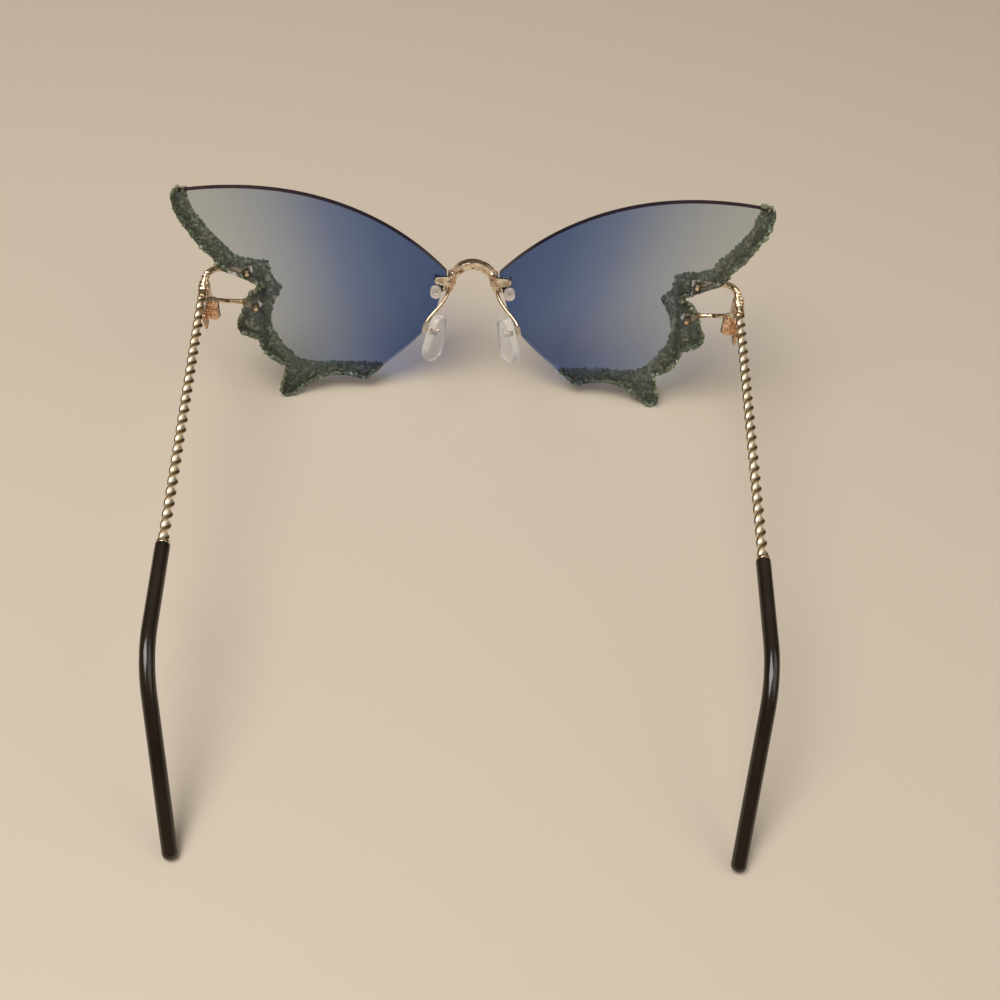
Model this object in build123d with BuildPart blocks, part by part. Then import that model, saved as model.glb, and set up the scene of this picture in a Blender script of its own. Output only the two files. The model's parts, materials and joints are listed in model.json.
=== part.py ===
from build123d import *
import math
import os
import random

os.makedirs("parts", exist_ok=True)

# Butterfly sunglasses, standing open on a table: X to the wearer's left, the front faces -Y,
# the temples run to +Y. The table is Z = 0. Sizes are in millimetres, angles in degrees.

# Driving dimensions: lenses
LENS_WIDTH = 68.0
LENS_HEIGHT = 64.0
LENS_GAP = 14.0
LENS_THICKNESS = 2.0
LENS_CURVE_RADIUS = 250.0
LENS_TILT_ANGLE = 11.0

# Driving dimensions: crystal border
BED_THICKNESS = 0.6
BED_CLEARANCE = 0.25
CHIP_CLEARANCE = 0.6
CHIP_PITCH = 1.8
CHIP_RADIUS = 0.88
CHIP_SINK = 0.3
CHIP_HEIGHT = 1.4
CHIP_TAPER_ANGLE = 22.0
CHIP_SIDES = 5
GRID_ANGLE = 60.0

# Driving dimensions: bridge
BRIDGE_WIRE = 2.2
BRIDGE_DEPTH = 2.8
BRIDGE_TOP = 40.8
BRIDGE_FOOT_LEVEL = 34.2
BRIDGE_FOOT_WIDTH = 6.0
BRIDGE_FOOT_HEIGHT = 6.6
BRIDGE_FOOT_THICKNESS = 1.1
BRIDGE_LEG_SPLAY = 0.9
BRIDGE_PIN_RADIUS = 0.5
BRIDGE_PIN_SPACING = 3.6
BRIDGE_PIN_ACROSS = 9.9
CLAW_HEIGHT = 3.4
CLAW_END_RADIUS = 1.3
CLAW_THICKNESS = 1.0
PLUG_WALL = 0.4
PLUG_WIDTH = 3.0
PLUG_HEIGHT = 3.3
PLUG_THICKNESS = 1.5

# Driving dimensions: nose pads
PAD_LENGTH = 13.0
PAD_TOP_RADIUS = 2.6
PAD_BOTTOM_RADIUS = 3.5
PAD_THICKNESS = 2.4
PAD_ACROSS = 11.0
PAD_HANG = 1.6
PAD_LEVEL = 26.0
PAD_SETBACK = 9.5
PAD_SPLAY_ANGLE = 48.0
PAD_LEAN_ANGLE = 17.0
PAD_TONGUE_WIDTH = 1.5
PAD_TONGUE_RADIUS = 0.85
PAD_STANDOFF = 1.15
PAD_BOX_WALL = 0.5
PAD_BOX_LENGTH = 2.4
PAD_SCREW_RADIUS = 0.4
PAD_ARM_RADIUS = 0.5
PAD_ARM_BEND = 1.6
PAD_ARM_FALL = 1.0
PAD_ARM_SETBACK = 3.0

# Driving dimensions: end pieces and their screws
FOOT_RADIUS = 1.1
FOOT_THICKNESS = 1.1
UPPER_FOOT_RUN = 4.2
LOWER_FOOT_RUN = 2.3
PRONG_START = 1.9
PRONG_LIFT = 0.25
UPPER_PRONG_RADIUS = 0.85
UPPER_PRONG_BEND = 4.0
LOWER_PRONG_RADIUS = 0.6
LOWER_PRONG_BEND = 1.5
LOWER_PRONG_RISE = 5.5
LOWER_PRONG_RISE_ANGLE = 50.0
SCREW_RADIUS = 0.5
SCREW_HEAD_RADIUS = 1.15
SCREW_HEAD_HEIGHT = 0.8
SCREW_HEAD_TAPER_ANGLE = 24.0
BUSHING_WALL = 0.3
BUSHING_RIM = 1.2
NUT_RADIUS = 0.95
NUT_HEIGHT = 0.8
NUT_SIDES = 6
STEM_LENGTH = 5.9

# Driving dimensions: hinges, outward of the upper lens screw and behind the lens face carried on,
# with the temple rope starting in front of the pin
HINGE_OUTSET = 7.05
HINGE_SETBACK = 10.7
ROPE_LEAD = 2.9
BARREL_RADIUS = 1.7
KNUCKLE_HEIGHT = 1.6
KNUCKLE_GAP = 0.1
LEAF_THICKNESS = 0.8
LEAF_LENGTH = 3.2
HINGE_PIN_RADIUS = 0.5
HINGE_HEAD_RADIUS = 0.9
HINGE_HEAD_HEIGHT = 0.5

# Driving dimensions: temples
STRAND_RADIUS = 0.62
ROPE_LENGTH = 73.0
ROPE_TURN = 6.1
TEMPLE_SLOPE_ANGLE = 4.7
TEMPLE_TOE_IN_ANGLE = 1.5
COLLAR_RADIUS = 1.8
COLLAR_LENGTH = 2.2
CORE_RADIUS = 0.7
SLEEVE_RADIUS = 1.7
SLEEVE_STRAIGHT = 28.6
SLEEVE_DROP_ANGLE = 44.0
SLEEVE_LEAN_IN_ANGLE = 11.0
SLEEVE_BEND = 22.0
CORE_STOP = 9.0

# Fits
RUNNING_FIT = 0.05
SEAT_GAP = 0.02
SLIDE_GAP = 0.12
OVERRUN = 1.0

# The lens edge, in shares of the lens width (from the nose) and height (from the lowest tip)
TOP_EDGE_SHARES = [
    (0.007, 0.597),
    (0.21, 0.784),
    (0.53, 0.944),
    (0.81, 0.997),
    (0.975, 1.0),
]
# Arcs that follow round the wing to the lower nose corner: a point on the way, then the end
WING_ARC_SHARES = [
    ((0.996, 0.990), (0.999, 0.965)),
    ((0.985, 0.893), (0.951, 0.822)),
    ((0.921, 0.758), (0.879, 0.703)),
    ((0.868, 0.666), (0.841, 0.634)),
    ((0.785, 0.600), (0.721, 0.560)),
    ((0.710, 0.549), (0.721, 0.537)),
    ((0.774, 0.491), (0.793, 0.416)),
    ((0.815, 0.375), (0.788, 0.328)),
    ((0.765, 0.313), (0.740, 0.302)),
    ((0.721, 0.233), (0.644, 0.159)),
    ((0.654, 0.103), (0.671, 0.047)),
    ((0.664, 0.011), (0.637, 0.0)),
    ((0.582, 0.041), (0.515, 0.084)),
    ((0.441, 0.094), (0.347, 0.069)),
    ((0.330, 0.066), (0.315, 0.077)),
]
NOSE_EDGE_SHARES = [
    (0.168, 0.219),
    (0.071, 0.344),
    (0.029, 0.461),
    (0.004, 0.569),
]
NOSE_CORNER_SHARES = (0.0, 0.583)
# The inner border of the crystal band, from above the wing to below the nose corner
BAND_BORDER_SHARES = [
    (0.950, 1.050),
    (0.950, 0.955),
    (0.930, 0.885),
    (0.893, 0.817),
    (0.838, 0.738),
    (0.812, 0.690),
    (0.765, 0.672),
    (0.687, 0.650),
    (0.676, 0.580),
    (0.641, 0.528),
    (0.682, 0.450),
    (0.694, 0.385),
    (0.688, 0.320),
    (0.650, 0.245),
    (0.609, 0.183),
    (0.574, 0.160),
    (0.522, 0.150),
    (0.426, 0.144),
    (0.350, 0.136),
    (0.270, 0.130),
    (0.200, 0.050),
]
# How near to the edge of the band the middle of a chip may lie, in shares of its radius
BAND_EDGE_SHARE = 0.45
# The heights that the chips come in, in shares of the tallest
CHIP_HEIGHT_SHARES = [0.5, 0.65, 0.8, 1.0]
# How deep a nut is bored and how far into it the screw reaches, in shares of the nut's height
NUT_BORE_SHARE = 0.85
SHANK_END_SHARE = 0.8
# The open top of a pad box below the pad, in shares of the tongue's radius
PAD_EAR_SHARE = 0.35
# The radius of a pad screw's head, in shares of its shank's
PAD_SCREW_HEAD_SHARE = 1.8
# Where the two feet of an end piece are screwed to the lens, and where the lower prong turns back
UPPER_SCREW_SHARE = (0.763, 0.622)
LOWER_SCREW_SHARE = (0.742, 0.458)
LOWER_TURN_SHARE = (0.835, 0.475)


# Worked-out places
def sine(angle):
    return math.sin(math.radians(angle))


def cosine(angle):
    return math.cos(math.radians(angle))


def on_lens(shares):
    """A point of the flat lens outline from its shares."""
    return (LENS_GAP / 2 + shares[0] * LENS_WIDTH, shares[1] * LENS_HEIGHT)


def sag(across):
    """How far the curved back face falls behind the bridge plane."""
    return LENS_CURVE_RADIUS - math.sqrt(LENS_CURVE_RADIUS**2 - across**2)


lowest_tip = min((on_lens(end) for way, end in WING_ARC_SHARES), key=lambda place: place[1])
lens_foot_level = (LENS_THICKNESS - sag(lowest_tip[0])) * sine(LENS_TILT_ANGLE)
upper_screw = on_lens(UPPER_SCREW_SHARE)
hinge_across = upper_screw[0] + HINGE_OUTSET
hinge_level = lens_foot_level + upper_screw[1] * cosine(LENS_TILT_ANGLE)
lens_back = sag(hinge_across) * cosine(LENS_TILT_ANGLE) - upper_screw[1] * sine(LENS_TILT_ANGLE)
hinge_back = lens_back + HINGE_SETBACK
rope_radius = 2 * STRAND_RADIUS
temple_across = hinge_across + BARREL_RADIUS + SLIDE_GAP * 2 + rope_radius
temple_rise = hinge_level + KNUCKLE_GAP * 4
straight_run = ROPE_LENGTH + COLLAR_LENGTH + SLEEVE_STRAIGHT
bend_fall = straight_run * sine(TEMPLE_SLOPE_ANGLE)
bend_level = temple_rise - bend_fall
drop = bend_level - SLEEVE_RADIUS
drop_back = drop / math.tan(math.radians(SLEEVE_DROP_ANGLE))
temple_reach = straight_run * cosine(TEMPLE_SLOPE_ANGLE) * cosine(TEMPLE_TOE_IN_ANGLE) + drop_back
bridge_front = LENS_THICKNESS + BRIDGE_FOOT_THICKNESS
front_reach = BRIDGE_TOP * sine(LENS_TILT_ANGLE) + bridge_front * cosine(LENS_TILT_ANGLE)
rear_reach = hinge_back - ROPE_LEAD + temple_reach + SLEEVE_RADIUS
front_y = (front_reach - rear_reach) / 2

# Frames: the flat plane of the lens outline (Z to the front), and the plane its curve is drawn in
lens_up = (0, -sine(LENS_TILT_ANGLE), cosine(LENS_TILT_ANGLE))
lens_front = (0, -cosine(LENS_TILT_ANGLE), -sine(LENS_TILT_ANGLE))
lens_origin = (0, front_y, lens_foot_level)
lens_plane = Plane(origin=lens_origin, x_dir=(1, 0, 0), z_dir=lens_front)
curve_plane = Plane(origin=lens_origin, x_dir=(1, 0, 0), z_dir=lens_up)


def lens_spot(across, up, depth, spin=0):
    """The plane square to the curved lens at a place, Z to the front, depth from the back face."""
    turn = math.asin(across / LENS_CURVE_RADIUS)
    reach = LENS_CURVE_RADIUS + depth
    place = (reach * math.sin(turn), up, reach * math.cos(turn) - LENS_CURVE_RADIUS)
    return Plane(lens_plane.location * Location(place, (0, math.degrees(turn), spin)))


# Temple line: down and inward from the hinge, then the drop behind the ear
hinge_y = front_y + hinge_back
temple_start = Vector(temple_across, hinge_y - ROPE_LEAD, temple_rise)
temple_run = Vector(
    -sine(TEMPLE_TOE_IN_ANGLE) * cosine(TEMPLE_SLOPE_ANGLE),
    cosine(TEMPLE_TOE_IN_ANGLE) * cosine(TEMPLE_SLOPE_ANGLE),
    -sine(TEMPLE_SLOPE_ANGLE),
)
temple_inward = Vector(-cosine(TEMPLE_TOE_IN_ANGLE), -sine(TEMPLE_TOE_IN_ANGLE), 0)
temple_plane = Plane(origin=temple_start, x_dir=temple_inward, z_dir=temple_run)
rope_end = temple_start + temple_run * ROPE_LENGTH
sleeve_start = temple_start + temple_run * (ROPE_LENGTH + COLLAR_LENGTH + SEAT_GAP)
ear_bend = temple_start + temple_run * straight_run
drop_run = Vector(-drop_back * math.tan(math.radians(SLEEVE_LEAN_IN_ANGLE)), drop_back, -drop)
sleeve_end = ear_bend + drop_run

# End-piece feet on the lens front, each from its screw toward the place where its prong turns back
upper_prong_depth = LENS_THICKNESS + SEAT_GAP + PRONG_LIFT + UPPER_PRONG_RADIUS
lower_prong_depth = LENS_THICKNESS + SEAT_GAP + PRONG_LIFT + LOWER_PRONG_RADIUS
upper_turn = temple_start - temple_run * (HINGE_SETBACK - ROPE_LEAD + upper_prong_depth)
lower_turn = lens_spot(*on_lens(LOWER_TURN_SHARE), lower_prong_depth).origin
screw_places = [Vector(on_lens(UPPER_SCREW_SHARE)), Vector(on_lens(LOWER_SCREW_SHARE))]
foot_ways = []
for screw_place, prong_turn in zip(screw_places, (upper_turn, lower_turn)):
    way = lens_plane.to_local_coords(prong_turn) - screw_place
    foot_ways.append(Vector(way.X, way.Y).normalized())
feet = list(zip(screw_places, foot_ways, (UPPER_FOOT_RUN, LOWER_FOOT_RUN)))


def foot_seats(clearance):
    """The outlines of both feet on the lens, this much wider all round."""
    with BuildSketch(Plane.XY) as seats:
        for start, way, run in feet:
            SlotCenterPoint(start + way * run / 2, start, 2 * (FOOT_RADIUS + clearance))
    return seats.sketch


def bent_wire(points, wire_radius, bend):
    """A round wire along these points, with its corners bent."""
    with BuildPart() as wire:
        with BuildLine() as route:
            FilletPolyline(*points, radius=bend)
        with BuildSketch(Plane(origin=route.line @ 0, z_dir=route.line % 0)):
            Circle(wire_radius)
        sweep(path=route.line)
    return wire.part


def write_piece(part, name):
    """Label a piece and write it."""
    part.label = name
    export_step(part, f"parts/{name}.step")


def write_pair(part, name):
    """Write a left-hand piece and its mirror image on the right."""
    write_piece(part, f"{name}_left")
    with BuildPart() as right:
        mirror(part, about=Plane.YZ)
    write_piece(right.part, f"{name}_right")


# Lens outline
with BuildSketch(Plane.XY) as lens_outline:
    with BuildLine():
        Spline(*[on_lens(shares) for shares in TOP_EDGE_SHARES])
        arc_start = on_lens(TOP_EDGE_SHARES[-1])
        for way, end in WING_ARC_SHARES:
            ThreePointArc(arc_start, on_lens(way), on_lens(end))
            arc_start = on_lens(end)
        nose_edge = [on_lens(shares) for shares in NOSE_EDGE_SHARES]
        Spline(arc_start, *nose_edge)
        ThreePointArc(nose_edge[-1], on_lens(NOSE_CORNER_SHARES), on_lens(TOP_EDGE_SHARES[0]))
    make_face()

# Crystal band outline: the lens outline less the clear window and the seats of the feet
with BuildSketch(Plane.XY) as band_outline:
    add(lens_outline.sketch)
    with BuildSketch(mode=Mode.SUBTRACT):
        with BuildLine():
            border = [on_lens(shares) for shares in BAND_BORDER_SHARES]
            Polyline(*border)
            Polyline(border[-1], (0, border[-1][1]), (0, border[0][1]), border[0])
        make_face()
    add(foot_seats(BED_CLEARANCE), mode=Mode.SUBTRACT)


def curved_sheet(outline, near, far):
    """A sheet with this outline between two depths in front of the lens' back face."""
    with BuildPart() as sheet:
        with BuildSketch(curve_plane.offset(-OVERRUN)):
            with Locations((0, LENS_CURVE_RADIUS)):
                Circle(LENS_CURVE_RADIUS + far)
                Circle(LENS_CURVE_RADIUS + near, mode=Mode.SUBTRACT)
            slab_reach = LENS_GAP + LENS_WIDTH
            Rectangle(slab_reach, LENS_HEIGHT, align=(Align.MIN, Align.CENTER), mode=Mode.INTERSECT)
        extrude(amount=LENS_HEIGHT + 2 * OVERRUN)
        with BuildSketch(lens_plane):
            add(outline)
        extrude(amount=LENS_HEIGHT / 2, both=True, mode=Mode.INTERSECT)
    return sheet.part


# Lenses, with holes for the bridge plugs and the end-piece bushings
lower_pin_level = BRIDGE_FOOT_LEVEL - BRIDGE_PIN_SPACING / 2
upper_pin_level = BRIDGE_FOOT_LEVEL + BRIDGE_PIN_SPACING / 2
bushing_radius = SCREW_RADIUS + RUNNING_FIT + BUSHING_WALL
plug_sleeve_radius = BRIDGE_PIN_RADIUS + RUNNING_FIT + PLUG_WALL
with BuildPart() as lens:
    add(curved_sheet(lens_outline.sketch, 0, LENS_THICKNESS))
    with BuildSketch(*[lens_spot(place.X, place.Y, LENS_THICKNESS) for place in screw_places]):
        Circle(bushing_radius + RUNNING_FIT)
    extrude(amount=LENS_THICKNESS, both=True, mode=Mode.SUBTRACT)
    with BuildSketch(lens_spot(BRIDGE_PIN_ACROSS, lower_pin_level, LENS_THICKNESS)):
        Circle(plug_sleeve_radius + RUNNING_FIT)
    extrude(amount=LENS_THICKNESS, both=True, mode=Mode.SUBTRACT)
    with BuildSketch(lens_spot(BRIDGE_PIN_ACROSS, upper_pin_level, LENS_THICKNESS)):
        Circle(BRIDGE_PIN_RADIUS + RUNNING_FIT)
    extrude(amount=LENS_THICKNESS, both=True, mode=Mode.SUBTRACT)
write_pair(lens.part, "lens")

# Crystal border: the bed of clear glue on the front of the lens
with BuildPart() as crystal_bed:
    add(curved_sheet(band_outline.sketch, LENS_THICKNESS, LENS_THICKNESS + BED_THICKNESS))
write_pair(crystal_bed.part, "crystal_bed")

# Crystal border: faceted chips pressed into the bed, one to a cell of a hexagonal grid
with BuildSketch(Plane.XY) as chip_ground:
    add(band_outline.sketch)
    add(foot_seats(CHIP_CLEARANCE), mode=Mode.SUBTRACT)
chip_face = chip_ground.sketch.face()
chooser = random.Random(5)
chip_planes = [[] for _ in CHIP_HEIGHT_SHARES]
row_pitch = CHIP_PITCH * sine(GRID_ANGLE)
chip_depth = LENS_THICKNESS + BED_THICKNESS - CHIP_SINK
chip_reach_share = LENS_CURVE_RADIUS / (LENS_CURVE_RADIUS + chip_depth)
for row in range(int(LENS_HEIGHT / row_pitch)):
    shift = CHIP_PITCH / 2 * (row % 2)
    for column in range(int(LENS_WIDTH / CHIP_PITCH)):
        across = LENS_GAP / 2 + shift + column * CHIP_PITCH
        up = row * row_pitch
        spot = Vector(across, up)
        if not chip_face.is_inside(spot):
            continue
        if min(wire.distance_to(spot) for wire in chip_face.wires()) < CHIP_RADIUS * BAND_EDGE_SHARE:
            continue
        kind = chooser.randrange(len(CHIP_HEIGHT_SHARES))
        spin = chooser.uniform(0, 360 / CHIP_SIDES)
        chip_planes[kind].append(lens_spot(across * chip_reach_share, up, chip_depth, spin))
with BuildPart() as crystal_chips:
    for planes, height_share in zip(chip_planes, CHIP_HEIGHT_SHARES):
        with BuildSketch(*planes):
            RegularPolygon(CHIP_RADIUS, CHIP_SIDES)
        extrude(amount=CHIP_HEIGHT * height_share, taper=CHIP_TAPER_ANGLE)
write_pair(crystal_chips.part, "crystal_chips")

# Bridge: an arch between the lenses, with a foot on the front of each, a claw round its edge to
# the back and two pins through it
leg_across = LENS_GAP / 2 - BRIDGE_WIRE / 2 - 2 * SLIDE_GAP
leg_end_across = leg_across + BRIDGE_LEG_SPLAY
arch_top = BRIDGE_TOP - BRIDGE_WIRE / 2
leg_bottom = BRIDGE_FOOT_LEVEL - BRIDGE_FOOT_HEIGHT / 2 + BRIDGE_WIRE / 2
arch_spring = BRIDGE_FOOT_LEVEL + BRIDGE_FOOT_HEIGHT / 6
foot_back = LENS_THICKNESS + SEAT_GAP
foot_across = leg_across - BRIDGE_WIRE / 2 + BRIDGE_FOOT_WIDTH / 2
lower_pin_plane = lens_spot(BRIDGE_PIN_ACROSS, lower_pin_level, foot_back)
upper_pin_plane = lens_spot(BRIDGE_PIN_ACROSS, upper_pin_level, foot_back)
with BuildPart() as bridge:
    with BuildSketch(lens_plane.offset(bridge_front - BRIDGE_DEPTH)):
        with BuildLine():
            leg = Line((leg_end_across, leg_bottom), (leg_across, arch_spring))
            ThreePointArc(leg @ 1, (0, arch_top), (-leg_across, arch_spring))
            Line((-leg_across, arch_spring), (-leg_end_across, leg_bottom))
        trace(line_width=BRIDGE_WIRE)
    extrude(amount=BRIDGE_DEPTH)
    fillet(bridge.edges().group_by(Axis(lens_origin, lens_front))[-1], BRIDGE_WIRE / 4)
    with BuildSketch(lens_spot(BRIDGE_PIN_ACROSS, BRIDGE_FOOT_LEVEL, foot_back)):
        with Locations((foot_across - BRIDGE_PIN_ACROSS, 0)):
            RectangleRounded(BRIDGE_FOOT_WIDTH, BRIDGE_FOOT_HEIGHT, BRIDGE_WIRE / 2)
    extrude(amount=BRIDGE_FOOT_THICKNESS)
    with BuildSketch(lens_plane.offset(-SEAT_GAP - CLAW_THICKNESS)):
        with Locations((leg_across, upper_pin_level)):
            Rectangle(BRIDGE_WIRE, CLAW_HEIGHT)
    extrude(amount=bridge_front)
    with BuildSketch(lens_spot(BRIDGE_PIN_ACROSS, upper_pin_level, -SEAT_GAP)):
        Circle(CLAW_END_RADIUS)
        with Locations((leg_across - BRIDGE_PIN_ACROSS, 0)):
            Rectangle(BRIDGE_WIRE, CLAW_HEIGHT)
        make_hull()
    extrude(amount=-CLAW_THICKNESS)
    with BuildSketch(lower_pin_plane):
        Circle(BRIDGE_PIN_RADIUS)
    extrude(amount=-(LENS_THICKNESS + PLUG_THICKNESS))
    with BuildSketch(upper_pin_plane):
        Circle(BRIDGE_PIN_RADIUS)
    extrude(amount=-(LENS_THICKNESS + CLAW_THICKNESS))
    split(bisect_by=Plane.YZ, keep=Keep.TOP)
    mirror(about=Plane.YZ)
write_piece(bridge.part, "bridge")

# Bridge plugs: a clear bushing behind the lens, with a sleeve round the lower pin
with BuildPart() as bridge_plug:
    with BuildSketch(lens_spot(BRIDGE_PIN_ACROSS, lower_pin_level, -SEAT_GAP)):
        RectangleRounded(PLUG_WIDTH, PLUG_HEIGHT, PLUG_WIDTH / 2 - RUNNING_FIT)
    extrude(amount=-PLUG_THICKNESS)
    with BuildSketch(lower_pin_plane):
        Circle(plug_sleeve_radius)
    extrude(amount=-LENS_THICKNESS - 2 * SEAT_GAP)
    with BuildSketch(lower_pin_plane):
        Circle(BRIDGE_PIN_RADIUS + RUNNING_FIT)
    extrude(amount=-(LENS_THICKNESS + PLUG_THICKNESS + OVERRUN), mode=Mode.SUBTRACT)
write_pair(bridge_plug.part, "bridge_plug")

# Nose pads: the plane of a pad has its origin on the rocking axis, X along it, Z to the nose
pad_place = Location((PAD_ACROSS, PAD_LEVEL, -PAD_SETBACK), (0, 180 + PAD_SPLAY_ANGLE, -PAD_LEAN_ANGLE))
pad_plane = Plane(lens_plane.location * pad_place)
pad_side = Plane(origin=pad_plane.origin, x_dir=pad_plane.y_dir, z_dir=pad_plane.x_dir)
with BuildPart() as nose_pad:
    with BuildSketch(pad_plane.offset(PAD_STANDOFF)):
        with Locations((0, PAD_LENGTH / 2 - PAD_TOP_RADIUS - PAD_HANG)):
            Circle(PAD_TOP_RADIUS)
        with Locations((0, PAD_BOTTOM_RADIUS - PAD_LENGTH / 2 - PAD_HANG)):
            Circle(PAD_BOTTOM_RADIUS)
        make_hull()
    extrude(amount=PAD_THICKNESS)
    pad_rims = nose_pad.faces().sort_by(Axis(pad_plane.origin, pad_plane.z_dir))
    fillet(pad_rims[-1].edges(), PAD_THICKNESS / 2)
    fillet(pad_rims[0].edges(), PAD_THICKNESS / 4)
    with BuildSketch(pad_side):
        Circle(PAD_TONGUE_RADIUS)
        with Locations((0, PAD_STANDOFF / 2 + PAD_THICKNESS / 8)):
            Rectangle(2 * PAD_TONGUE_RADIUS, PAD_STANDOFF + PAD_THICKNESS / 4)
    extrude(amount=PAD_TONGUE_WIDTH / 2, both=True)
    with BuildSketch(pad_side):
        Circle(PAD_SCREW_RADIUS + RUNNING_FIT)
    extrude(amount=PAD_TONGUE_WIDTH, both=True, mode=Mode.SUBTRACT)
write_pair(nose_pad.part, "nose_pad")

# Pad boxes: two ears on a base, with the screw across them
box_inside = PAD_TONGUE_WIDTH + 2 * SLIDE_GAP
box_width = box_inside + 2 * PAD_BOX_WALL
box_floor = -PAD_TONGUE_RADIUS - 2 * SLIDE_GAP
ear_top = PAD_STANDOFF - PAD_EAR_SHARE * PAD_TONGUE_RADIUS - SLIDE_GAP
with BuildPart() as pad_box:
    with BuildSketch(pad_plane.offset(box_floor - PAD_BOX_WALL)):
        RectangleRounded(box_width, PAD_BOX_LENGTH, PAD_BOX_WALL / 2)
    extrude(amount=ear_top - box_floor + PAD_BOX_WALL)
    with BuildSketch(pad_plane.offset(box_floor)):
        Rectangle(box_inside, 2 * PAD_BOX_LENGTH)
    extrude(amount=2 * PAD_BOX_LENGTH, mode=Mode.SUBTRACT)
    with BuildSketch(pad_side):
        Circle(PAD_SCREW_RADIUS + RUNNING_FIT)
    extrude(amount=box_width, both=True, mode=Mode.SUBTRACT)
write_pair(pad_box.part, "pad_box")

with BuildPart() as pad_screw:
    with BuildSketch(pad_side.offset(-box_width / 2 - SEAT_GAP)):
        Circle(PAD_SCREW_RADIUS)
    extrude(amount=box_width + 2 * SEAT_GAP)
    with BuildSketch(pad_side.offset(box_width / 2 + SEAT_GAP)):
        Circle(PAD_SCREW_RADIUS * PAD_SCREW_HEAD_SHARE)
    extrude(amount=PAD_BOX_WALL)
write_pair(pad_screw.part, "pad_screw")

# Pad arms: a goose-neck wire from the back of the bridge leg to the pad box
arm_depth = bridge_front - BRIDGE_DEPTH - SEAT_GAP
arm_start = lens_plane.from_local_coords((leg_end_across, leg_bottom, arm_depth))
arm_knee = lens_plane.from_local_coords((leg_end_across, leg_bottom - PAD_ARM_FALL, -PAD_ARM_SETBACK))
arm_end = pad_plane.from_local_coords((0, 0, box_floor - PAD_BOX_WALL - SEAT_GAP))
arm_turn = pad_plane.from_local_coords((0, 0, box_floor - PAD_BOX_WALL - PAD_ARM_BEND))
arm_points = [arm_start, arm_knee, arm_turn, arm_end]
write_pair(bent_wire(arm_points, PAD_ARM_RADIUS, PAD_ARM_BEND / 2), "pad_arm")

# End pieces: two prongs round the lens edge to a stem in line with the temple
stem_front = temple_start - temple_run * (STEM_LENGTH + 2 * SLIDE_GAP)
stem_rear = temple_start - temple_run * 2 * SLIDE_GAP
foot_planes = [lens_spot(place.X, place.Y, LENS_THICKNESS + SEAT_GAP) for place in screw_places]
upper_start = screw_places[0] + foot_ways[0] * PRONG_START
lower_start = screw_places[1] + foot_ways[1] * PRONG_START
lower_end = stem_rear - temple_run * (LOWER_PRONG_RADIUS + 2 * SLIDE_GAP)
lower_rise = Vector(0, cosine(LOWER_PRONG_RISE_ANGLE), sine(LOWER_PRONG_RISE_ANGLE)) * LOWER_PRONG_RISE
upper_points = [
    lens_spot(upper_start.X, upper_start.Y, upper_prong_depth).origin,
    upper_turn,
    (stem_front + stem_rear) / 2,
]
lower_points = [
    lens_spot(lower_start.X, lower_start.Y, lower_prong_depth).origin,
    lower_turn,
    lower_end - lower_rise,
    lower_end,
]


with BuildPart() as endpiece:
    for foot_plane, (start, way, run) in zip(foot_planes, feet):
        with BuildSketch(foot_plane):
            SlotCenterPoint(way * run / 2, (0, 0), 2 * FOOT_RADIUS)
    extrude(amount=FOOT_THICKNESS)
    add(bent_wire(upper_points, UPPER_PRONG_RADIUS, UPPER_PRONG_BEND))
    add(bent_wire(lower_points, LOWER_PRONG_RADIUS, LOWER_PRONG_BEND))
    with BuildSketch(Plane(origin=stem_front, z_dir=temple_run)):
        Circle(rope_radius)
    extrude(amount=STEM_LENGTH)
    with BuildSketch(*foot_planes):
        Circle(SCREW_RADIUS + RUNNING_FIT)
    extrude(amount=FOOT_THICKNESS + OVERRUN, both=True, mode=Mode.SUBTRACT)
write_pair(endpiece.part, "endpiece")

# End-piece bushings: clear rims on the lens back, with a sleeve through the lens
rim_planes = [lens_spot(place.X, place.Y, -SEAT_GAP) for place in screw_places]
with BuildPart() as endpiece_bushings:
    with BuildSketch(*rim_planes):
        Circle(BUSHING_RIM)
    extrude(amount=-BUSHING_WALL)
    with BuildSketch(*rim_planes):
        Circle(bushing_radius)
    extrude(amount=LENS_THICKNESS)
    with BuildSketch(*rim_planes):
        Circle(SCREW_RADIUS + RUNNING_FIT)
    extrude(amount=LENS_THICKNESS + OVERRUN, both=True, mode=Mode.SUBTRACT)
write_pair(endpiece_bushings.part, "endpiece_bushings")

# End-piece screws: head on the foot, shank through foot, lens, bushing and nut
head_depth = LENS_THICKNESS + FOOT_THICKNESS + 2 * SEAT_GAP
nut_depth = -BUSHING_WALL - 2 * SEAT_GAP
shank_length = head_depth - nut_depth + NUT_HEIGHT * SHANK_END_SHARE
head_planes = [lens_spot(place.X, place.Y, head_depth) for place in screw_places]
with BuildPart() as endpiece_screws:
    with BuildSketch(*head_planes):
        Circle(SCREW_HEAD_RADIUS)
    extrude(amount=SCREW_HEAD_HEIGHT, taper=SCREW_HEAD_TAPER_ANGLE)
    with BuildSketch(*head_planes):
        Circle(SCREW_RADIUS)
    extrude(amount=-shank_length)
write_pair(endpiece_screws.part, "endpiece_screws")

# End-piece nuts: closed six-sided caps behind the rims
nut_planes = [lens_spot(place.X, place.Y, nut_depth) for place in screw_places]
with BuildPart() as endpiece_nuts:
    with BuildSketch(*nut_planes):
        RegularPolygon(NUT_RADIUS, NUT_SIDES)
    extrude(amount=-NUT_HEIGHT, taper=SCREW_HEAD_TAPER_ANGLE)
    with BuildSketch(*nut_planes):
        Circle(SCREW_RADIUS + RUNNING_FIT)
    extrude(amount=-NUT_HEIGHT * NUT_BORE_SHARE, mode=Mode.SUBTRACT)
write_pair(endpiece_nuts.part, "endpiece_nuts")

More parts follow.
